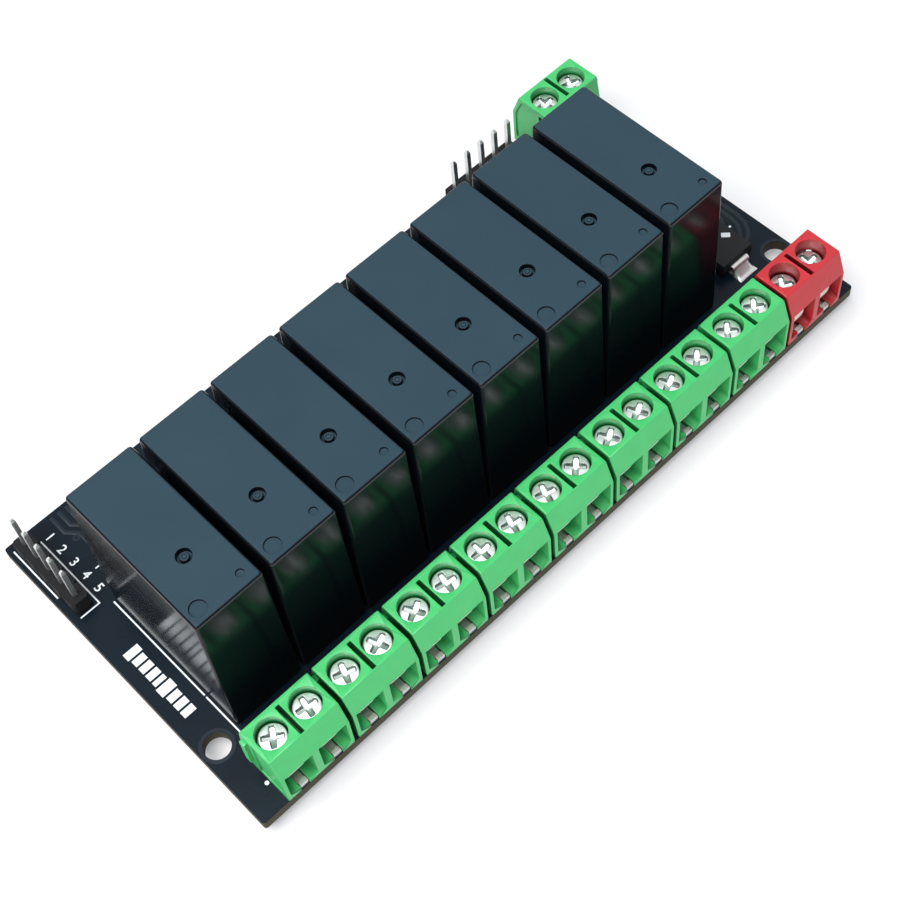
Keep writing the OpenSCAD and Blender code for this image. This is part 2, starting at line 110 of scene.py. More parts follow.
# %% [markdown]
# ## Shader sums in plain Python
# A finish is a small sum: a mask times a colour, a noise added to a roughness. Wiring Math nodes by hand hides that
# sum, so one small class wraps a socket and lets Python's own signs add the nodes. Every other kind of node comes
# from one method, which sets the node's options first and then its sockets.

# %% Wire: a socket that can be added and multiplied
class Wire:
    """One output socket in a material's tree."""

    def __init__(self, tree, socket):
        self.tree = tree
        self.socket = socket

    def node(self, kind, options=None, output=0, **sockets):
        """Adds a node. Socket names use _ for a blank, or are i0, i1 ... for a socket's number."""
        made = self.tree.nodes.new(kind)
        for key, value in (options or {}).items():
            setattr(made, key, value)
        for key, value in sockets.items():
            place = int(key[1:]) if key[0] == "i" and key[1:].isdigit() else key.replace("_", " ")
            if isinstance(value, Wire):
                self.tree.links.new(value.socket, made.inputs[place])
            else:
                made.inputs[place].default_value = value
        return Wire(self.tree, made.outputs[output])

    def math(self, operation, first, second=0.0):
        """Adds a Math node on one or two values."""
        return self.node("ShaderNodeMath", {"operation": operation}, i0=first, i1=second)

    def __add__(self, other):
        return self.math("ADD", self, other)

    def __radd__(self, other):
        return self.math("ADD", other, self)

    def __sub__(self, other):
        return self.math("SUBTRACT", self, other)

    def __rsub__(self, other):
        return self.math("SUBTRACT", other, self)

    def __mul__(self, other):
        return self.math("MULTIPLY", self, other)

    def __rmul__(self, other):
        return self.math("MULTIPLY", other, self)

    def above(self, edge, soft):
        """0 below edge and 1 above it, with a ramp of the given width."""
        return self.node("ShaderNodeMapRange", {"clamp": True}, Value=self, From_Min=edge - soft / 2,
                         From_Max=edge + soft / 2)

    def size(self):
        """The value without its sign."""
        return self.math("ABSOLUTE", self)

    def wrapped(self, pitch):
        """The rest after whole steps of pitch, from 0 to pitch."""
        return self.math("FLOORED_MODULO", self, pitch)

    def mixed(self, low_colour, high_colour):
        """The colour between two colours that this factor picks."""
        return self.node("ShaderNodeMix", {"data_type": "RGBA"}, output=2, i0=self, i6=low_colour, i7=high_colour)

    def parts(self):
        """The x, y and z of a vector."""
        split = self.node("ShaderNodeSeparateXYZ", Vector=self)
        return [Wire(self.tree, socket) for socket in split.socket.node.outputs]


def rgb(red, green, blue):
    """A colour as the eye reads it, from 0 to 255 a channel, turned into the linear values that Blender uses."""
    channel = np.array([red, green, blue]) / 255
    linear = np.where(channel < 0.04045, channel / 12.92, ((channel + 0.055) / 1.055) ** 2.4)
    return (*linear.tolist(), 1.0)


# %% [markdown]
# ## Starting a finish
# Each finish is one Principled shader. Constants go on its own sockets. What varies over the surface reads Object
# coordinates, which here are the frame's own metres because every piece sits at the origin, so a grain of 0.2 mm is
# a noise of scale 1 / 0.0002.

# %% Finish: a material and its coordinates
class Finish:
    """A Principled material with object coordinates, and the calls that every finish needs."""

    def __init__(self, name, colour, roughness, **constants):
        self.material = bpy.data.materials.new(name)
        self.material.use_nodes = True
        tree = self.material.node_tree
        self.shader = tree.nodes["Principled BSDF"]
        self.shader.inputs["Base Color"].default_value = colour
        self.shader.inputs["Roughness"].default_value = roughness
        for key, value in constants.items():
            self.shader.inputs[key.replace("_", " ")].default_value = value
        coordinates = tree.nodes.new("ShaderNodeTexCoord")
        self.at = Wire(tree, coordinates.outputs["Object"])
        self.facing = Wire(tree, coordinates.outputs["Normal"])
        self.tree = tree

    def grain(self, size, detail=2.0, stretch=None):
        """Noise from 0 to 1 with lumps about size millimetres wide, drawn out by stretch along each axis."""
        at = self.at
        if stretch:
            at = at.node("ShaderNodeMapping", Vector=at, Scale=stretch)
        return at.node("ShaderNodeTexNoise", Vector=at, Scale=1 / (size * MM), Detail=detail)

    def drive(self, socket, wire):
        """Lets a wire set one of the shader's sockets."""
        self.tree.links.new(wire.socket, self.shader.inputs[socket])

    def bump(self, height, millimetres):
        """Raises the surface by up to so many millimetres where height is 1."""
        self.drive("Normal", height.node("ShaderNodeBump", Height=height, Distance=millimetres * MM, Strength=1.0))


# %% [markdown]
# ## Relay plastic
# The covers are moulded in black. Their tops are spark-eroded to a fine satin grain, and their blue-grey colour is a
# painted reflection of the sky, while the sides come out of a polished mould and mirror the terminals in front of
# them.
# One material does both: a mask from the surface's own direction picks the top. The round between them stays dark at
# first and then draws a thin bright line, which a second mask gives to the coat.

# %% Relay cover and base
def relay_plastic():
    """Polished black with a satin top whose blue-grey colour is a painted reflection of the sky. Each mask is the
    upward part of the surface's direction, from a limit on: above 0.93 lies the top, and between 0.15 and 0.6 the
    bright line of the round."""
    finish = Finish("relay_plastic", rgb(20, 22, 26), 0.1, Specular_IOR_Level=0.1, Coat_Roughness=0.12)
    _, _, up_part = finish.facing.parts()
    top = up_part.above(0.93, 0.1)
    edge = up_part.above(0.15, 0.15) * (1 - up_part.above(0.6, 0.2))
    cloud = finish.grain(9, detail=3)
    grain = finish.grain(0.16, detail=3)
    # Painted reflection: the top's blue-grey colour stands in for the sky that the satin grain mirrors.
    painted_sky_slate = (cloud * 0.6 + grain * 0.2).mixed(rgb(41, 60, 70), rgb(51, 71, 81))
    finish.drive("Base Color", top.mixed(rgb(10, 15, 20), painted_sky_slate))
    finish.drive("Coat Weight", edge * 0.8)
    finish.drive("Roughness", top * (0.44 + grain * 0.12) + (1 - top) * (0.13 + finish.grain(3) * 0.08))
    finish.bump(top * grain, 0.006)
    return finish.material


def base_plastic():
    """Plain dark plastic whose roughness wanders a little."""
    finish = Finish("base_plastic", rgb(22, 24, 27), 0.45)
    finish.drive("Roughness", 0.4 + finish.grain(0.4) * 0.15)
    return finish.material


# %% [markdown]
# ## Terminal plastic
# The blocks are glass-filled nylon: strongly coloured, a little cloudy, with a soft sheen and hardly any texture. The
# same recipe makes the green and the red. In slots and chambers a painted shade darkens the colour where light gets
# lost between coloured walls. The share of open sky over a point, within three millimetres, says how deep it lies.

# %% Green and red housings
def housing_plastic(name, colour, deep, shade):
    """Nylon that clouds between two near colours and turns to a painted shade colour where little sky is open."""
    finish = Finish(name, colour, 0.36, Specular_IOR_Level=0.45)
    cloud = finish.grain(2.5, detail=3)
    grain = finish.grain(0.22, detail=2)
    open_sky = finish.at.node("ShaderNodeAmbientOcclusion", {"samples": 8}, output=1, Distance=3 * MM)
    face = (cloud * 0.7 + grain * 0.15).mixed(deep, colour)
    # Painted shade: the base colour turns to the shade colour where the open sky over a point is small.
    finish.drive("Base Color", open_sky.above(0.48, 0.5).mixed(shade, face))
    finish.drive("Roughness", 0.3 + grain * 0.12 + cloud * 0.05)
    finish.bump(grain * 0.7 + cloud * 0.3, 0.006)
    return finish.material


# %% [markdown]
# ## The board
# The laminate is pressed glass cloth, olive grey where it is cut at the edges and in the holes. Both faces wear a
# glossy black mask that follows the copper below it and has a faint orange peel. Height tells the two apart: a point
# of a face lies within 0.03 mm of the board's top or bottom.

# %% Board, copper lanes and print
FACE_WITHIN = 0.03 * MM


def board_finish():
    """Black mask where the height from the board's middle is its half thickness, glass laminate elsewhere."""
    finish = Finish("board_mask", rgb(16, 18, 22), 0.3, Specular_IOR_Level=0.14)
    _, _, height = finish.at.parts()
    middle = float(low[2] + high[2]) / 2
    half = float(high[2] - low[2]) / 2
    mask = (height - middle).size().above(half - FACE_WITHIN, 0.01 * MM)
    cloth = finish.grain(0.35, detail=3, stretch=(1, 1, 6))
    laminate = cloth.mixed(rgb(46, 42, 33), rgb(88, 82, 66))
    cloud = finish.grain(7, detail=3)
    finish.drive("Base Color", mask.mixed(laminate, cloud.mixed(rgb(7, 16, 24), rgb(15, 30, 41))))
    finish.drive("Roughness", mask * (0.2 + cloud * 0.16) + (1 - mask) * 0.75)
    finish.bump(finish.grain(0.5, detail=3) * mask + cloth * (1 - mask) * 3, 0.005)
    return finish.material


def lane_finish():
    """Mask over copper, a little paler than over the laminate."""
    finish = Finish("masked_copper", rgb(24, 28, 34), 0.28, Specular_IOR_Level=0.25)
    cloud = finish.grain(3, detail=3)
    finish.drive("Base Color", cloud.mixed(rgb(12, 22, 30), rgb(22, 36, 47)))
    finish.drive("Roughness", 0.22 + cloud * 0.14)
    finish.bump(finish.grain(0.5, detail=3), 0.004)
    return finish.material


def print_finish():
    """Screen-printed white with fine grey speckles."""
    finish = Finish("white_print", rgb(236, 240, 241), 0.55)
    speckle = finish.grain(0.12, detail=3)
    finish.drive("Base Color", speckle.above(0.4, 0.5).mixed(rgb(205, 210, 214), rgb(244, 247, 248)))
    finish.drive("Roughness", 0.45 + speckle * 0.2)
    return finish.material


# %% [markdown]
# ## Metals
# Screws are bright zinc, clamps are nickel with a warm cast, pins and leads are tin, and solder has frozen with a
# slight ripple. Each is a metallic shader whose roughness and colour wander a little, since an even metal looks like
# grey paint. Plating dulls some of them, so a part of their light comes back as from chalk. On the screws, painted
# shade darkens the faces turned away from the top, the cross's walls and the head's rim, and draws the cross darker.

# %% Zinc, nickel, tin and solder
def metal(name, dark, bright, roughness, spread, size, ripple=0.0, metallic=1.0, steep_painted_shade=None):
    """A metal whose colour runs from dark to bright, and a painted shade colour on faces turned from the top if given.
    """
    finish = Finish(name, bright, roughness, Metallic=metallic)
    cloud = finish.grain(size, detail=3)
    shade = cloud.mixed(dark, bright)
    if steep_painted_shade:
        _, _, up_part = finish.facing.parts()
        # Painted shade: faces turned away from the top take the darker colour.
        shade = up_part.above(0.78, 0.25).mixed(steep_painted_shade, shade)
    finish.drive("Base Color", shade)
    finish.drive("Roughness", roughness - spread / 2 + cloud * spread)
    if ripple:
        finish.bump(finish.grain(size * 0.5, detail=2), ripple)
    return finish.material


# %% [markdown]
# ## Small moulded parts
# Header strips, chips and the diode are matt black with a coarse grain. Resistors, lamps and capacitors have metal
# caps on both ends of a ceramic body. Resistors and lamps stand at even steps along the board, so the distance to the
# nearest step's centre tells a cap from a body. The capacitors lie across, so for them the distance to the middle
# line of their row does the same.

# %% Black mouldings and capped parts
CAP_FROM = 0.6 * MM


def matt_black(name, colour, roughness):
    """Black moulding with a coarse grain between near black and the colour."""
    finish = Finish(name, colour, roughness, Specular_IOR_Level=0.22)
    grain = finish.grain(0.18, detail=3)
    finish.drive("Base Color", grain.mixed(rgb(12, 13, 15), colour))
    finish.drive("Roughness", roughness + grain * 0.12)
    finish.bump(grain, 0.008)
    return finish.material


def capped(name, body, offset, roughness=0.5):
    """A ceramic body with tinned caps where offset, in metres from the part's centre, passes the body's half."""
    finish = Finish(name, body, roughness)
    cap = offset(finish.at.parts()).above(CAP_FROM, 0.02 * MM)
    grain = finish.grain(0.15, detail=2)
    finish.drive("Base Color", cap.mixed(body, grain.mixed(rgb(150, 152, 155), rgb(214, 216, 219))))
    finish.drive("Metallic", cap * 0.95)
    finish.drive("Roughness", roughness - 0.15 * cap + grain * 0.1)
    return finish.material


def from_nearest(first, pitch):
    """Distance along X to the nearest of the places first, first + pitch ..."""
    return lambda parts: ((parts[0] - (first - pitch / 2)).wrapped(pitch) - pitch / 2).size()


# %% [markdown]
# ## The list of finishes
# Every material is made once here, so that parts of one stuff share it. A colour is given as the eye reads it. Where
# a finish needs a place, such as the row of capacitors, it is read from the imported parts' boxes.

# %% Make the finishes
HALF_CHIP = 1 * MM
relay_mid = [np.mean(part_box(name + "_cover"), axis=0) for name in RELAYS]
relay_step = float(relay_mid[1][0] - relay_mid[0][0])
resistor_low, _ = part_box("chip_resistors")
lamp_low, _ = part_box("status_lamps")
capacitor_low, capacitor_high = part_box("chip_capacitors")
capacitor_row = (capacitor_low[1] + capacitor_high[1]) / 2

PLASTIC = relay_plastic()
BASE = base_plastic()
# The last colour of each housing is its painted shade for slots and chambers.
GREEN = housing_plastic("green_nylon", rgb(78, 198, 114), rgb(60, 180, 98), rgb(14, 92, 40))
RED = housing_plastic("red_nylon", rgb(201, 48, 54), rgb(178, 35, 42), rgb(92, 10, 14))
MASK = board_finish()
LANE = lane_finish()
PRINT = print_finish()
# The grey-green on the screws' cross walls and head rims is painted shade.
ZINC = metal("bright_zinc", rgb(214, 222, 220), rgb(246, 250, 249), 0.38, 0.14, 0.4, steep_painted_shade=rgb(140, 154, 148))
NICKEL = metal("warm_nickel", rgb(240, 233, 214), rgb(255, 250, 236), 0.45, 0.15, 0.7, metallic=0.1)
TIN = metal("bright_tin", rgb(196, 199, 197), rgb(236, 239, 237), 0.3, 0.1, 0.8, metallic=0.9)
SOLDER = metal("solder", rgb(186, 189, 190), rgb(234, 236, 236), 0.34, 0.12, 0.6, ripple=0.002, metallic=0.5)
STRIP = matt_black("header_strip", rgb(15, 18, 21), 0.6)
CHIP = matt_black("chip_body", rgb(29, 33, 37), 0.55)
RESISTOR = capped("resistor_caps", rgb(26, 26, 28), from_nearest(resistor_low[0] + HALF_CHIP, relay_step))
LAMP = capped("lamp_caps", rgb(232, 228, 196), from_nearest(lamp_low[0] + HALF_CHIP, relay_step), 0.3)
CAPACITOR = capped("capacitor_caps", rgb(176, 140, 98), lambda parts: (parts[1] - capacitor_row).size())
print(len(bpy.data.materials), "materials")


# %% [markdown]
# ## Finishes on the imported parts
# Parts whose shape is already right keep their mesh and only get their finish.

# %% Paint the CAD nodes
def paint(name, material):
    """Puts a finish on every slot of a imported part."""
    for place in nodes[name].material_slots:
        place.material = material


paint("board", MASK)
for name in RELAYS:
    paint(name + "_cover", PLASTIC)
    paint(name + "_base", BASE)
for name in TERMINALS:
    paint(name + "_housing", RED if name == "terminal_supply" else GREEN)
    paint(name + "_clamps", NICKEL)
for name, material in {
    "relay_pins": TIN, "terminal_screws": ZINC, "terminal_contacts": TIN,
    "input_header_strip": STRIP, "input_header_pins": TIN,
    "output_header_strip": STRIP, "output_header_pins": TIN,
    "supply_diode_body": CHIP, "supply_diode_leads": TIN,
    "shift_register_body": CHIP, "shift_register_leads": TIN,
    "driver_body": CHIP, "driver_leads": TIN,
    "chip_resistors": RESISTOR, "status_lamps": LAMP, "chip_capacitors": CAPACITOR,
    "solder_joints": SOLDER,
}.items():
    paint(name, material)
print("painted", len(nodes), "parts")


# %% [markdown]
# ## Edges that catch the light
# A moulded edge is never sharp: a narrow round along it draws the thin bright line that shows where one face ends. A
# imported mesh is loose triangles, so a copy is joined up first. Its flat triangles are merged and split afresh, which
# clears needle-thin ones, and each sharp edge that is left is given a weight: long edges the full one, and the short
# ones of holes and marks half of it.

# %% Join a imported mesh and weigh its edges
JOIN_WITHIN = 0.002 * MM
FLAT_WITHIN, SHARP_FROM = math.radians(0.4), math.radians(28)
SHORT_EDGE_WEIGHT = 0.5


def joined_copy(name):
    """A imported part's mesh with doubled points joined, flat faces merged and those of many corners split afresh."""
    mesh = nodes[name].data.copy()
    work = bmesh.new()
    work.from_mesh(mesh)
    bmesh.ops.remove_doubles(work, verts=work.verts, dist=JOIN_WITHIN)
    bmesh.ops.dissolve_limit(work, angle_limit=FLAT_WITHIN, verts=work.verts, edges=work.edges)
    bmesh.ops.triangulate(work, faces=[face for face in work.faces if len(face.verts) > 4])
    work.to_mesh(mesh)
    work.free()
    mesh.polygons.foreach_set("use_smooth", np.ones(len(mesh.polygons), bool))
    mesh.set_sharp_from_angle(angle=SHARP_FROM)
    return mesh


def weigh_edges(mesh, long_edge):
    """Bevel weights: 1 on sharp edges longer than long_edge millimetres, half on other sharp ones, 0 elsewhere."""
    ends = np.empty(2 * len(mesh.edges), np.int32)
    mesh.edges.foreach_get("vertices", ends)
    points = np.empty(3 * len(mesh.vertices))
    mesh.vertices.foreach_get("co", points)
    points = points.reshape(-1, 3)
    ends = ends.reshape(-1, 2)
    length = np.linalg.norm(points[ends[:, 0]] - points[ends[:, 1]], axis=1)
    sharp = np.zeros(len(ends), bool)
    mesh.attributes["sharp_edge"].data.foreach_get("value", sharp)
    weight = np.where(sharp, np.where(length > long_edge * MM, 1.0, SHORT_EDGE_WEIGHT), 0.0)
    mesh.attributes.new("bevel_weight_edge", "FLOAT", "EDGE").data.foreach_set("value", weight)


print("joins points within", JOIN_WITHIN / MM, "mm")


# %% [markdown]
# ## Rounding the copies
# A Bevel modifier rounds the weighted edges by two facets, a tenth of a millimetre wide on the terminals and a little
# less on chips. Each copy then takes its part's place: it rides on the board and replaces the node.

# %% Softened copies of imported parts
HOUSING_EDGE, CHIP_EDGE = 0.1, 0.08


def keep_flat(piece):
    """Large faces rule the shading at shared corners, so flat faces look flat beside small rounds."""
    weighted = piece.modifiers.new("flat faces stay flat", "WEIGHTED_NORMAL")
    weighted.weight = 100
    return weighted


def softened(name, material, width, long_edge=2.0):
    """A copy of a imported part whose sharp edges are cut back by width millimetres, which stands for the part."""
    mesh = joined_copy(name)
    weigh_edges(mesh, long_edge)
    piece = bpy.data.objects.new(name + "_soft", mesh)
    bpy.context.collection.objects.link(piece)
    mesh.materials.clear()
    mesh.materials.append(material)
    bevel = piece.modifiers.new("edges", "BEVEL")
    bevel.limit_method = "WEIGHT"
    bevel.width = width * MM
    bevel.segments = 2
    bevel.use_clamp_overlap = False
    bevel.face_strength_mode = "FSTR_ALL"
    keep_flat(piece).use_face_influence = True
    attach(piece, "root")
    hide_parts(name)


for name in TERMINALS:
    material, slot = (RED, "supply_housing") if name == "terminal_supply" else (GREEN, "output_housing")
    softened(name + "_housing", material, HOUSING_EDGE)
for name in ("supply_diode_body", "shift_register_body", "driver_body"):
    softened(name, CHIP, CHIP_EDGE, long_edge=0.5)
print("softened", len(TERMINALS) + 3, "parts")


# %% [markdown]
# ## Building new pieces from arrays
# A new piece is a surface worked out with numpy: rows of points, each row a profile, joined into quads. One helper
# numbers the quads and another makes the mesh, so each piece below only has to say where its points are.

# %% Grid helpers
CREASE = math.radians(32)


def quads(rows, columns, first=0):
    """Quads between neighbouring rows of a tube, whose rows close on themselves: a point, the next one in its row and
    the two above them. They face outwards where rows turn left, seen from the side that they climb towards."""
    row, column = np.meshgrid(np.arange(rows - 1), np.arange(columns), indexing="ij")
    a = row * columns + column
    b = row * columns + (column + 1) % columns
    return (np.stack([a, b, b + columns, a + columns], -1) + first).reshape(-1, 4)


def add_piece(name, points, faces, material, slot, smooth=True, stands_for=()):
    """Makes a mesh piece from points and faces, which rides on the board."""
    mesh = bpy.data.meshes.new(name)
    mesh.from_pydata(np.asarray(points).reshape(-1, 3).tolist(), [], faces)
    mesh.validate()
    mesh.polygons.foreach_set("use_smooth", np.full(len(mesh.polygons), smooth))
    if smooth:
        mesh.set_sharp_from_angle(angle=CREASE)
    mesh.materials.append(material)
    piece = bpy.data.objects.new(name, mesh)
    bpy.context.collection.objects.link(piece)
    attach(piece, "root")
    if stands_for:
        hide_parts(*stands_for)
    return piece


# %% [markdown]
# ## The relay covers
# A cover is a thin box, open below, whose sides lean in a little so that it leaves its mould. Its skin is a rounded
# rectangle carried from the pocket's ceiling down inside, out under the rim, up the side and over the top edge. The
# flat top then has three round holes to fill: a gate recess with its nub and two ejector marks. A constrained
# Delaunay net joins the outline to the three rims, and each recess is a revolved profile.

# %% Loops and dishes
CORNER_STEPS, ROUND_STEPS, DISH_SIDES = 5, 6, 40


def rounded_loop(half_x, half_y, radius, z):
    """A rounded rectangle at height z, turning left: each corner's centre plus a quarter circle."""
    quarter = np.linspace(0, math.pi / 2, CORNER_STEPS + 1)
    corners = []
    for number, (sign_x, sign_y) in enumerate(((1, 1), (-1, 1), (-1, -1), (1, -1))):
        angle = quarter + number * math.pi / 2
        corners.append(np.column_stack([sign_x * (half_x - radius) + radius * np.cos(angle),
                                        sign_y * (half_y - radius) + radius * np.sin(angle)]))
    loop = np.concatenate(corners)
    return np.column_stack([loop, np.full(len(loop), z)])


def dish(x, y, z, profile):
    """Rows of a revolved recess, from its rim inwards: (radius, height) pairs turned about an upright axis."""
    around = np.linspace(0, 2 * math.pi, DISH_SIDES, endpoint=False)
    radius, height = np.array(profile).T
    return np.stack([x + radius[:, None] * np.cos(around), y + radius[:, None] * np.sin(around),
                     z + np.repeat(height[:, None], DISH_SIDES, 1)], -1)


def rounded_drop(radius, deep, soft):
    """Profile of a rim that turns down into a hole: a quarter circle of radius soft over the edge, the wall, and the
    same quarter, the other way round, into the floor."""
    turn = np.linspace(0, math.pi / 2, 4)
    return ([(radius + 2 * soft, 0)] + [(radius + soft - soft * math.sin(a), -soft * (1 - math.cos(a))) for a in turn]
            + [(radius, soft - deep)] + [(radius - soft * (1 - math.cos(a)), -deep + soft - soft * math.sin(a))
                                         for a in turn[1:]])


# %% Mould the relay covers
DRAFT, TOP_R, CORNER_R, WALL = 0.3, 0.4, 0.42, 0.9
POCKET, POCKET_R, FOOT = 2.4, 0.15, 0.05
GATE_R, GATE_DEEP, GATE_SOFT, GATE_Y, POST_R = 0.95, 0.75, 0.06, 3.8, 0.57
MARK_R, SPOT_R, MARK_DEEP, MARK_SOFT, MARK_IN = 1.05, 0.52, 0.26, 0.035, 1.8
POST = [(POST_R + 0.04, -GATE_DEEP), (POST_R, 0.04 - GATE_DEEP), (POST_R, -0.26), (POST_R - 0.05, -0.21)]
NUB = [(0.36, -0.21), (0.32, -0.27), (0.26, -0.27), (0.22, -0.2), (0.05, -0.19)]
GATE = rounded_drop(GATE_R, GATE_DEEP, GATE_SOFT) + POST + NUB


def cover_skin(half_x, half_y, tall):
    """Loops from the pocket's ceiling down inside, out under the rim, up the side and over the top edge. Over the
    edge the inset grows with 1 - cos of the angle and the height lacks 1 - sin of it, both times the radius."""
    inside = (half_x - WALL, half_y - WALL)
    loops = [rounded_loop(*inside, POCKET_R, POCKET), rounded_loop(*inside, POCKET_R, 0.0),
             rounded_loop(half_x, half_y, CORNER_R, 0.0), rounded_loop(half_x, half_y, CORNER_R, FOOT)]
    for angle in np.linspace(0, math.pi / 2, ROUND_STEPS + 1):
        inset = DRAFT + TOP_R * (1 - math.cos(angle))
        loops.append(rounded_loop(half_x - inset, half_y - inset, CORNER_R, tall - TOP_R * (1 - math.sin(angle))))
    inset = DRAFT + TOP_R + 0.06
    loops.append(rounded_loop(half_x - inset, half_y - inset, CORNER_R - 0.05, tall))
    return loops


def filled(points, rims):
    """Triangles of the flat inside the first rim and outside the others: the Delaunay net of all the rims' points,
    less the triangles whose corners all lie on the rim of one hole."""
    ring = [corner for rim in rims for corner in rim]
    flat = [Vector(points[corner][:2]) for corner in ring]
    links, first = [], 0
    for rim in rims:
        links += [(first + k, first + (k + 1) % len(rim)) for k in range(len(rim))]
        first += len(rim)
    _, _, net, *_ = geometry.delaunay_2d_cdt(flat, links, [], 0, 1e-6)
    which = np.concatenate([np.full(len(rim), number) for number, rim in enumerate(rims)])
    net = [face for face in net if len(set(which[list(face)])) > 1 or which[face[0]] == 0]
    return [[ring[corner] for corner in face] for face in net]


def cover_mesh(half_x, half_y, tall):
    """Points and faces of a cover whose foot is at height 0, in millimetres about its own axis."""
    loops = cover_skin(half_x, half_y, tall)
    count = len(loops[0])
    points = [np.concatenate(loops)]
    faces = quads(len(loops), count).tolist()
    faces.append(list(range(count)))
    rims = [list(range((len(loops) - 1) * count, len(loops) * count))]
    start = len(loops) * count

    side_x, near_y = half_x - DRAFT - MARK_IN, DRAFT + MARK_IN - half_y
    for x, y, profile in ((0, -GATE_Y, GATE), (-side_x, near_y, rounded_drop(MARK_R, MARK_DEEP, MARK_SOFT)),
                          (side_x, near_y, rounded_drop(SPOT_R, MARK_DEEP, MARK_SOFT))):
        rows = dish(x, y, tall, profile)
        sides = rows.shape[1]
        points.append(rows.reshape(-1, 3))
        faces += quads(len(rows), sides, start).tolist()
        faces.append(list(range(start + (len(rows) - 1) * sides, start + len(rows) * sides)))
        rims.append(list(range(start, start + sides)))
        start += rows.size // 3
    points = np.concatenate(points)
    return points, faces + filled(points, rims)


for name in RELAYS:
    cover_low, cover_high = (np.array(corner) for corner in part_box(name + "_cover"))
    half = (cover_high - cover_low) / 2 / MM
    points, faces = cover_mesh(half[0], half[1], 2 * half[2])
    points = points * MM + np.array([*((cover_low + cover_high) / 2)[:2], cover_low[2]])
    piece = add_piece(name + "_moulded", points, faces, PLASTIC, "relay_cover", stands_for=(name + "_cover",))
    keep_flat(piece).keep_sharp = True
print("cover", len(faces), "faces, foot", np.round(2 * half[:2], 2), "mm")


# %% [markdown]
# ## The terminal screws
# Each pole has a pan head screw. Its head is a low dome with a rounded rim and a cross recess whose four wings get
# shallower towards their tips. A revolved profile gives the head, and the recess is subtracted from its height: for
# each point the wing that it lies in sets how deep it goes. Every screw stopped at its own angle, so each is turned
# by a random part of a quarter turn.

# %% Turn the screws
HEAD_R, HEAD_H, SHANK_R, SHANK_L = 1.75, 1.4, 1.25, 3.5
SCREW_IN, POLE_HALF = 3.9, 2.54
HEAD_DEEP, SUPPLY_DROP = 1.1, 0.9
DOME, RIM_IN, RIM_R, POINT = 0.12, 1.6, 0.15, 0.3
WING_HALF, WING_TAPER, WING_REACH, WING_SOFT = 0.42, 0.09, 1.36, 0.08
CROSS_DEEP, CROSS_RISE = 0.95, 0.45
TURNS = 112


def screw_points(angle):
    """Rows of points from the head's centre out over the dome, down the rim, in under the head and down the shank.
    The dome falls with the square of the radius. The cross lowers it by a depth that lessens outwards, times two
    ramps: how far the point lies inside a wing, and how far within the wing's reach."""
    radius = np.concatenate([np.linspace(0.02, 1.2, 16), np.linspace(1.24, 1.46, 6), [1.53, RIM_IN]])
    inner = len(radius)
    height = HEAD_H - DOME * (radius / HEAD_R) ** 2
    rim = np.linspace(0, math.pi / 2, 5)[1:]
    radius = np.concatenate([radius, RIM_IN + RIM_R * np.sin(rim), [HEAD_R, SHANK_R, SHANK_R, SHANK_R - POINT]])
    edge = HEAD_H - DOME * (RIM_IN / HEAD_R) ** 2
    height = np.concatenate([height, edge - RIM_R * (1 - np.cos(rim)), [0, 0, POINT - SHANK_L, -SHANK_L]])
    around = np.linspace(0, 2 * math.pi, TURNS, endpoint=False)
    x = radius[:, None] * np.cos(around)
    y = radius[:, None] * np.sin(around)
    z = np.repeat(height[:, None], TURNS, axis=1)
    wing = np.minimum(np.abs(x), np.abs(y))
    inside = np.clip((WING_HALF - WING_TAPER * radius[:, None] - wing) / WING_SOFT + 0.5, 0, 1)
    reach = np.clip((WING_REACH - radius[:, None]) / WING_SOFT + 0.5, 0, 1)
    depth = CROSS_DEEP - CROSS_RISE * radius[:, None]
    z[:inner] -= (inside * reach * depth)[:inner]
    return np.stack([x * math.cos(angle) - y * math.sin(angle), x * math.sin(angle) + y * math.cos(angle), z], -1)


def poles():
    """The screw axes as (x, y, top of the head) in metres, two for each terminal, from the clamps below them."""
    places = []
    for name in TERMINALS:
        clamp_low, clamp_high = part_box(name + "_clamps")
        block_low, block_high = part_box(name + "_housing")
        y = block_high[1] - SCREW_IN * MM if name == "terminal_aux" else block_low[1] + SCREW_IN * MM
        top = block_high[2] - (HEAD_DEEP + (SUPPLY_DROP if name == "terminal_supply" else 0)) * MM
        middle = (clamp_low[0] + clamp_high[0]) / 2
        places += [(middle + hand * POLE_HALF * MM, y, top) for hand in (-1, 1)]
    return places


random = np.random.default_rng(7)
shapes, faces = [], []
for index, (x, y, top) in enumerate(poles()):
    shape = screw_points(random.uniform(0, math.pi / 2)) * MM
    shape += np.array([x, y, top - HEAD_H * MM])
    start = index * (len(shape) * TURNS)
    shapes.append(shape.reshape(-1, 3))
    faces += quads(len(shape), TURNS, start)[:, ::-1].tolist()
    faces.append(list(range(start, start + TURNS)))
    faces.append(list(range(start + len(shape) * TURNS - 1, start + (len(shape) - 1) * TURNS - 1, -1)))
add_piece("screws_turned", np.concatenate(shapes), faces, ZINC, "screw_metal", stands_for=("terminal_screws",))
print(len(shapes), "screws")


# %% [markdown]
# ## Print and copper lanes
# White ink lies 0.02 mm proud of the mask, and masked copper 0.035 mm. Both are a flat profile carried along a path:
# at each corner the sideways step is stretched so that the width stays even. Several bars and discs are merged into
# one mesh, in millimetres from the board's corner, and placed in the frame at the end.

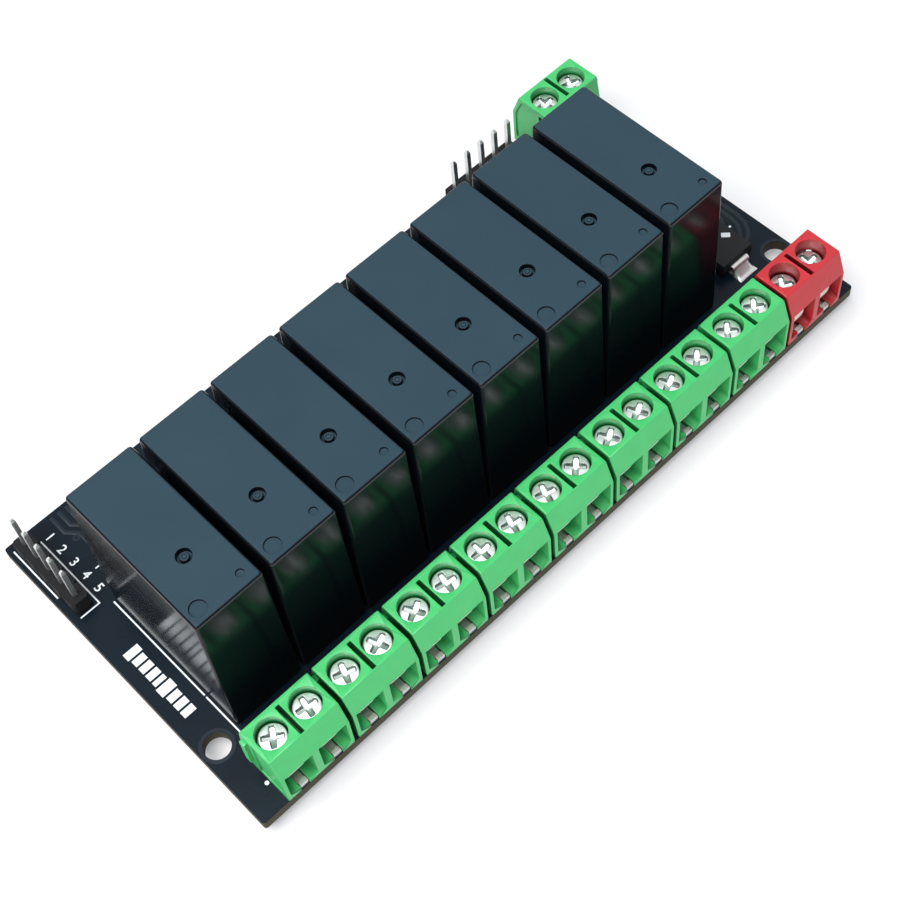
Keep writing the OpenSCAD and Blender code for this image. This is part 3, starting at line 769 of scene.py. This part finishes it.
# %% Lines carried along a path
def strip_mesh(path, width, z0, z1, lean=0.0):
    """A closed bar along a flat path: four points at each corner, offset along the mean of the two sides' normals and
    lengthened by one over the cosine of the half turn. The upper two stand in by lean."""
    path = np.asarray(path, float)
    step = np.diff(path, axis=0)
    step /= np.linalg.norm(step, axis=1, keepdims=True)
    side = np.stack([-step[:, 1], step[:, 0]], -1)
    before = np.vstack([side[:1], side])
    after = np.vstack([side, side[-1:]])
    mean = before + after
    mean /= np.linalg.norm(mean, axis=1, keepdims=True)
    mean /= np.sum(mean * after, axis=1, keepdims=True)
    wide, slim = mean * width / 2, mean * (width / 2 - lean)
    ring = [path - wide, path + wide, path + slim, path - slim]
    level_of = [z0, z0, z1, z1]
    points = np.stack([np.column_stack([r, np.full(len(r), z)]) for r, z in zip(ring, level_of)], 1)
    count = len(path)
    faces = quads(count, 4).tolist()
    faces.append([3, 2, 1, 0])
    faces.append([4 * count - 4, 4 * count - 3, 4 * count - 2, 4 * count - 1])
    return points.reshape(-1, 3), faces


def disc(x, y, radius, z0, z1, sides=32, hole=0.0):
    """A flat round pad, or a ring round a hole: a rectangle in section, turned about an upright axis. A pad keeps a
    hole too small to see."""
    around = np.linspace(0, 2 * math.pi, sides, endpoint=False)
    inner = max(hole, radius * 0.02)
    distance, height = np.array([(inner, z0), (radius, z0), (radius, z1), (inner, z1)]).T
    points = np.stack([x + distance[:, None] * np.cos(around), y + distance[:, None] * np.sin(around),
                       np.repeat(height[:, None], sides, 1)], -1)
    here = np.arange(sides)
    ahead_of = (here + 1) % sides
    inner_wall = np.stack([here + 3 * sides, ahead_of + 3 * sides, ahead_of, here], -1)
    return points.reshape(-1, 3), np.concatenate([quads(4, sides), inner_wall]).tolist()


def placed(parts):
    """Several (points, faces) pairs as one, taken from board millimetres to the frame's metres."""
    points, faces, start = [], [], 0
    for part_points, part_faces in parts:
        points.append(part_points)
        faces += [[corner + start for corner in face] for face in part_faces]
        start += len(part_points)
    return np.concatenate(points) * MM + np.array([low[0], low[1], DECK]), faces


BOARD_T = (high[2] - low[2]) / MM
print("board", round(BOARD_T, 2), "mm thick")


# %% [markdown]
# ## White ink
# The ink marks the header's box, numbers its pins 1 to 5 and outlines the relay row. A row of plain blocks, two of
# them as tall as capitals, stands for the printed label.

# %% Printed lines, dots and blocks
INK, LINE, OUTLINE_OUT = 0.02, 0.2, 5.35
header_low, header_high = ((np.array(corner) - low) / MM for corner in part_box("input_header_strip"))
box_left, box_right = header_low[0] - 0.25, header_high[0] + 0.5
box_near, box_far = header_low[1] - 0.45, header_high[1] + 0.35
outline_x = (relay_mid[0][0] - low[0]) / MM - OUTLINE_OUT
INK_LINES = [
    ([(box_right, box_far - 1.3), (box_right, box_near), (box_left + 0.35, box_near)], LINE),
    ([(box_left, box_far), (box_left, box_near + 4.2)], LINE),
    ([(6.5, 39.9), (7.1, 39.9), (7.1, 39.2)], 0.18),
    ([(outline_x, 34.6), (outline_x, 17.0)], LINE),
    ([(outline_x, 16.7), (outline_x, 10.5)], LINE),
]
INK_DOTS = [(3.47, 3.5, 0.27), (99.7, 18.4, 0.18)]
ink = [strip_mesh(line, width, 0, INK) for line, width in INK_LINES]
ink += [disc(x, y, radius, 0, INK) for x, y, radius in INK_DOTS]

BLOCKS = [1.1, 1.0, 1.0, 1.0, 0.7, 1.35, 1.0, 1.0, 1.0]
CAPITALS, CAPITAL_TALL, SMALL_TALL = (0, 5), 2.2, 1.75
BLOCK_X, BLOCK_Y, BLOCK_GAP = 2.7, 28.1, 0.32
along = BLOCK_Y
for number, breadth in enumerate(BLOCKS):
    tall = CAPITAL_TALL if number in CAPITALS else SMALL_TALL
    ink.append(strip_mesh([(BLOCK_X, along), (BLOCK_X, along - breadth)], tall, 0, INK))
    along -= breadth + BLOCK_GAP
add_piece("white_lines", *placed(ink), PRINT, "board_mask", smooth=False)
print(len(ink), "lines, dots and blocks, outline at", round(outline_x, 2))


# %% [markdown]
# ## Printed figures
# A figure is a text object whose outline is extruded to the ink's thickness and fattened a little, as ink spreads.
# It is made a mesh before it is put in its place, so that its object stays at the origin.

# %% The pins' numbers
FIGURES, FIGURE_X, FIGURE_TALL = 5, 5.15, 1.3
TEXT_SIZE, FATTEN = 1.4, 0.02


def digit(text, x, y, tall):
    """One printed figure, read along -Y, as a thin solid with its middle at (x, y)."""
    curve = bpy.data.curves.new("figure", "FONT")
    curve.body = text
    curve.size = tall * MM * TEXT_SIZE
    curve.extrude = INK / 2 * MM
    curve.align_x = "CENTER"
    curve.align_y = "CENTER"
    curve.offset = FATTEN * MM
    holder = bpy.data.objects.new("figure", curve)
    bpy.context.collection.objects.link(holder)
    bpy.context.view_layer.update()
    mesh = bpy.data.meshes.new_from_object(holder.evaluated_get(bpy.context.evaluated_depsgraph_get()))
    bpy.data.objects.remove(holder)
    place = Matrix.Translation(on_board(x, y, INK / 2)) @ Matrix.Rotation(-math.pi / 2, 4, "Z")
    mesh.transform(place)
    mesh.materials.clear()
    mesh.materials.append(PRINT)
    piece = bpy.data.objects.new("figure_" + text, mesh)
    bpy.context.collection.objects.link(piece)
    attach(piece, "root")


pin_step = (header_high[1] - header_low[1]) / FIGURES
for number in range(FIGURES):
    digit(str(number + 1), FIGURE_X, header_high[1] - pin_step * (number + 0.5), FIGURE_TALL)
print(FIGURES, "figures,", round(pin_step, 2), "mm apart")


# %% [markdown]
# ## Copper under the mask
# The mask rises where copper lies below it, so lanes and rings show as soft ridges. They are the same carried bars
# with leaning sides. Above, three lanes cross the far left corner, three more bend round the diode and rings circle
# a via and the mounting holes. Below, wide lanes join the screw terminals to the relays' contact pins, and a narrow
# one leaves each relay's coil.

# %% Copper lanes and rings above
LANE_H, LEAN = 0.035, 0.06
VIA, VIA_R, VIA_HOLE = (7.45, 45.1), 0.5, 0.2
HOLES, RING_R, HOLE_R = [(2.3, 11.05), (100.7, 11.05)], 2.2, 1.75
TOP_LANES = [
    ([(6.9, 49.8), (6.9, 46.8), (8.2, 45.3), (8.2, 37.0)], 0.55),
    ([(8.1, 49.8), (8.1, 47.2), (9.6, 45.6), (9.6, 40.0)], 0.55),
    ([(9.3, 49.8), (9.3, 47.6), (11.2, 45.6), (14.5, 45.6)], 0.55),
    ([(101.9, 25.0), (101.95, 19.2), (101.6, 17.4), (100.6, 15.9), (98.4, 14.6)], 0.5),
    ([(100.95, 25.0), (100.95, 19.4), (100.6, 17.8), (99.6, 16.5), (98.4, 15.8)], 0.5),
    ([(100.0, 25.0), (100.0, 20.4), (99.3, 19.3)], 0.5),
]
copper = [strip_mesh(line, width, 0, LANE_H, lean=LEAN) for line, width in TOP_LANES]
copper.append(disc(*VIA, VIA_R, 0, LANE_H, hole=VIA_HOLE))
copper += [disc(x, y, RING_R, 0, LANE_H, sides=48, hole=HOLE_R) for x, y in HOLES]
print(len(copper), "lanes and rings above")

# %% Copper lanes below
PIN_ROW, CONTACT_HALF, COIL_HALF = 9, 2.5, 3.5
POWER_LANE, COIL_LANE = 2.6, 0.7
legs = [((x - low[0]) / MM, (y - low[1]) / MM) for x, y, _ in poles()]
relay_x = [(middle[0] - low[0]) / MM for middle in relay_mid]
relay_y = (relay_mid[0][1] - low[1]) / MM
contacts = [(x + hand * CONTACT_HALF, relay_y - PIN_ROW) for x in relay_x for hand in (-1, 1)]
coils = [(x + hand * COIL_HALF, relay_y + PIN_ROW) for x in relay_x for hand in (-1, 1)]
below = [([leg, (leg[0], leg[1] + 3.2), (contact[0], contact[1] - 3.4), contact], POWER_LANE)
         for leg, contact in zip(legs, contacts)]
below += [([(x, y), (x, 37.4), (x + 1.6, 39.2)], COIL_LANE) for x, y in coils[::2]]
copper += [strip_mesh(line, width, -BOARD_T - LANE_H, -BOARD_T, lean=-LEAN) for line, width in below]
add_piece("copper_lanes", *placed(copper), LANE, "board_mask")
print(len(copper), "lanes and rings in all")


# %% [markdown]
# ## Solder
# Molten solder climbs a pin and spreads over its pad, and surface tension pulls it into a hollow cone. Turned about
# the pin, its radius falls from the pad's to the pin's by r = r_pin + (r_pad - r_pin) (1 - t) ** 2.4 while the height
# t runs from 0 at the board to 1 at the cone's tip.

# %% Hollow cones under the board
CONE_TALL, CONE_FOOT, CONE_SIDES = 0.9, 0.04, 24
CONTACT_JOINT, COIL_JOINT, HEADER_JOINT = (1.25, 0.62), (0.95, 0.48), (0.9, 0.46)
HEADER_PINS = 5


def cone_mesh(x, y, pad, pin):
    """A solder joint below the board, closed at both ends: a low foot as wide as the pad, then the curve of the
    radius given above, turned about the pin."""
    t = np.linspace(0, 1, 9)
    radius = np.concatenate([[pad], pin + (pad - pin) * (1 - t) ** 2.4])
    height = np.concatenate([[0.0], -CONE_FOOT - (CONE_TALL - CONE_FOOT) * t])
    around = np.linspace(0, 2 * math.pi, CONE_SIDES, endpoint=False)
    points = np.stack([x + radius[:, None] * np.cos(around), y + radius[:, None] * np.sin(around),
                       np.repeat(height[:, None], CONE_SIDES, 1) - BOARD_T], -1)
    rows = len(radius)
    faces = quads(rows, CONE_SIDES)[:, ::-1].tolist()
    faces.append(list(range(CONE_SIDES)))
    faces.append(list(range(rows * CONE_SIDES - 1, (rows - 1) * CONE_SIDES - 1, -1)))
    return points.reshape(-1, 3), faces


def pin_places(name, count):
    """The pins of a header, evenly spread over the box of its strip along the longer side."""
    first, last = ((np.array(corner) - low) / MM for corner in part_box(name))
    middle, long_side = (first + last) / 2, int(last[1] - first[1] > last[0] - first[0])
    steps = (np.arange(count) - (count - 1) / 2) * (last[long_side] - first[long_side]) / count
    return [(middle[0] + step * (1 - long_side), middle[1] + step * long_side) for step in steps]


headers = [place for name in ("input_header_strip", "output_header_strip") for place in pin_places(name, HEADER_PINS)]
joints = [cone_mesh(x, y, *joint) for group, joint in
          ((legs + contacts, CONTACT_JOINT), (coils, COIL_JOINT), (headers, HEADER_JOINT)) for x, y in group]
add_piece("solder_cones", *placed(joints), SOLDER, "solder", stands_for=("solder_joints",))


# %% [markdown]
# ## Solder at the diode
# The flat leads of the supply diode stand on wide pads. Solder runs up their outer faces in a hollow sweep: its
# height over the pad falls as h = 0.09 + climb (1 - t) ** 2.2 from the lead outwards, t from 0 to 1. The ends round
# off by the factor (1 - s ** 6), s from -1 to 1 along the lead, and the last eighth by the root of what is left of t.

# %% Sweeps of solder and a printed mark on the diode
SWEEP_ROWS, SWEEP_COLUMNS = 20, 32
PAD_HALF, PAD_OUT, PAD_NARROW, LAP = 1.65, 1.35, 0.08, 0.02
FILM, THIN, LEAD_BARE = 0.09, 0.01, 0.45
DIODE_MARK, MARK_WIDE = [(96.25, 17.15), (97.1, 16.3)], 0.75


def sweep_mesh(middle, start, end, climb):
    """A closed mound on the board between y = start at the lead and y = end at the pad's rim: the upper net, the same
    net flat on the board, and a wall between their borders."""
    t = np.linspace(0, 1, SWEEP_ROWS)[:, None]
    s = np.linspace(-1, 1, SWEEP_COLUMNS)[None, :]
    height = (FILM + climb * (1 - t) ** 2.2) * (1 - s ** 6) * np.clip((1 - t) * 8, 0, 1) ** 0.5
    x = middle + s * PAD_HALF * (1 - PAD_NARROW * (1 - t))
    y = start + (end - start) * t
    x, y = np.broadcast_arrays(x, y)
    upper = np.stack([x, y, np.maximum(height, THIN)], -1).reshape(-1, 3)
    number = np.arange(SWEEP_ROWS * SWEEP_COLUMNS).reshape(SWEEP_ROWS, SWEEP_COLUMNS)
    a, b = number[:-1, :-1].ravel(), number[:-1, 1:].ravel()
    top = np.stack([a, a + SWEEP_COLUMNS, b + SWEEP_COLUMNS, b], -1)
    border = np.concatenate([number[0, :-1], number[:-1, -1], number[-1, :0:-1], number[:0:-1, 0]])
    after = np.roll(border, -1)
    wall = np.stack([border, after, after + number.size, border + number.size], -1)
    faces = np.concatenate([top, top[:, ::-1] + number.size, wall])
    if end > start:
        faces = faces[:, ::-1]
    return np.concatenate([upper, upper * [1, 1, 0]]), faces.tolist()


lead_low, lead_high = ((np.array(corner) - low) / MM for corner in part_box("supply_diode_leads"))
lead_x = (lead_low[0] + lead_high[0]) / 2
climb = lead_high[2] - BOARD_T - LEAD_BARE
pads = [sweep_mesh(lead_x, lead_low[1] + LAP, lead_low[1] - PAD_OUT, climb),
        sweep_mesh(lead_x, lead_high[1] - LAP, lead_high[1] + PAD_OUT, climb)]
print("solder climbs", round(climb, 2), "mm")
add_piece("diode_solder", *placed(pads), SOLDER, "solder")

body_top = (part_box("supply_diode_body")[1][2] - DECK) / MM
mark = strip_mesh(DIODE_MARK, MARK_WIDE, body_top - 0.005, body_top + 0.015)
add_piece("diode_mark", *placed([mark]), PRINT, "board_mask", smooth=False)


# %% [markdown]
# ## The floor
# A pale seamless floor carries the board on its pin tips. A quarter of its white comes from its own glow, so it stays
# pale and still keeps a soft shadow. Far from the board, where the lamps don't reach, the glow takes over. Only rays
# that show the floor, straight or in a mirror image, see the glow, so it adds no light to the board.

# %% Lay the floor
FLOOR_HALF, GLOW = 3.0, 0.25
FAR, FAR_SOFT = 0.5, 0.6
WHITE = (1, 1, 1, 1)


def seen_directly(tree):
    """1 on rays that show a surface, from the camera, a mirror image or through clear matter, and 0 on others."""
    ray = tree.nodes.new("ShaderNodeLightPath")
    seen = sum(Wire(tree, ray.outputs[kind]) for kind in ("Is Camera Ray", "Is Glossy Ray", "Is Transmission Ray"))
    return seen.math("MINIMUM", seen, 1.0)


def floor_finish():
    """Matt white mixed with glow, by a share that rises to 1 between 0.2 and 0.8 m from the middle."""
    finish = Finish("floor", (0.88, 0.85, 0.85, 1), 0.9, Specular_IOR_Level=0.0)
    tree = finish.tree
    seen = seen_directly(tree)
    glow = seen.node("ShaderNodeEmission", Color=WHITE, Strength=1.0)
    away = finish.at.node("ShaderNodeVectorMath", {"operation": "LENGTH"}, output=1, i0=finish.at)
    share = GLOW + away.above(FAR, FAR_SOFT) * (1 - GLOW)
    matt = Wire(tree, finish.shader.outputs[0])
    blend = seen.node("ShaderNodeMixShader", i0=seen * share, i1=matt, i2=glow)
    output = next(node for node in tree.nodes if node.type == "OUTPUT_MATERIAL")
    tree.links.new(blend.socket, output.inputs["Surface"])
    return finish.material


floor_z = float(cad_box[0][2])
floor_corners = [(x * FLOOR_HALF, y * FLOOR_HALF, floor_z) for x, y in ((-1, -1), (1, -1), (1, 1), (-1, 1))]
floor_mesh = bpy.data.meshes.new("floor")
floor_mesh.from_pydata(floor_corners, [], [(0, 1, 2, 3)])
floor_mesh.materials.append(floor_finish())
floor = bpy.data.objects.new("floor", floor_mesh)
bpy.context.collection.objects.link(floor)
print("floor at", round(floor_z / MM, 2), "mm")


# %% [markdown]
# ## The light
# One large soft lamp hangs over the board, a weak one fills in from the front, and the room's own light does the
# rest: a cool one of 0.38 on the parts, and plain white where a ray shows the room itself.

# %% Lamps and room
ROOM_LIGHT, ROOM_COLOUR = 0.38, (0.72, 0.87, 1, 1)


def lamp(name, place, width, watts):
    """A soft square lamp that faces the middle of the board."""
    data = bpy.data.lights.new(name, "AREA")
    data.size = width
    data.energy = watts
    made = bpy.data.objects.new(name, data)
    bpy.context.collection.objects.link(made)
    made.location = place
    made.rotation_mode = "QUATERNION"
    made.rotation_quaternion = (Vector() - Vector(place)).to_track_quat("-Z", "Y")


lamp("overhead", place=(-0.3, 0.0, 0.78), width=0.6, watts=8.6)
lamp("front", place=(-0.35, -0.5, 0.45), width=0.5, watts=1.2)

world = bpy.data.worlds.new("room")
world.use_nodes = True
bpy.context.scene.world = world
room_tree = world.node_tree
background = room_tree.nodes["Background"]
room_seen = seen_directly(room_tree)
room_tree.links.new(room_seen.mixed(ROOM_COLOUR, WHITE).socket, background.inputs["Color"])
room_tree.links.new((ROOM_LIGHT + room_seen * (1 - ROOM_LIGHT)).socket, background.inputs["Strength"])
print(len(bpy.data.lights), "lamps")


# %% [markdown]
# ## The last update
# The view layer is brought up to date.

# %% Update the view layer
bpy.context.view_layer.update()
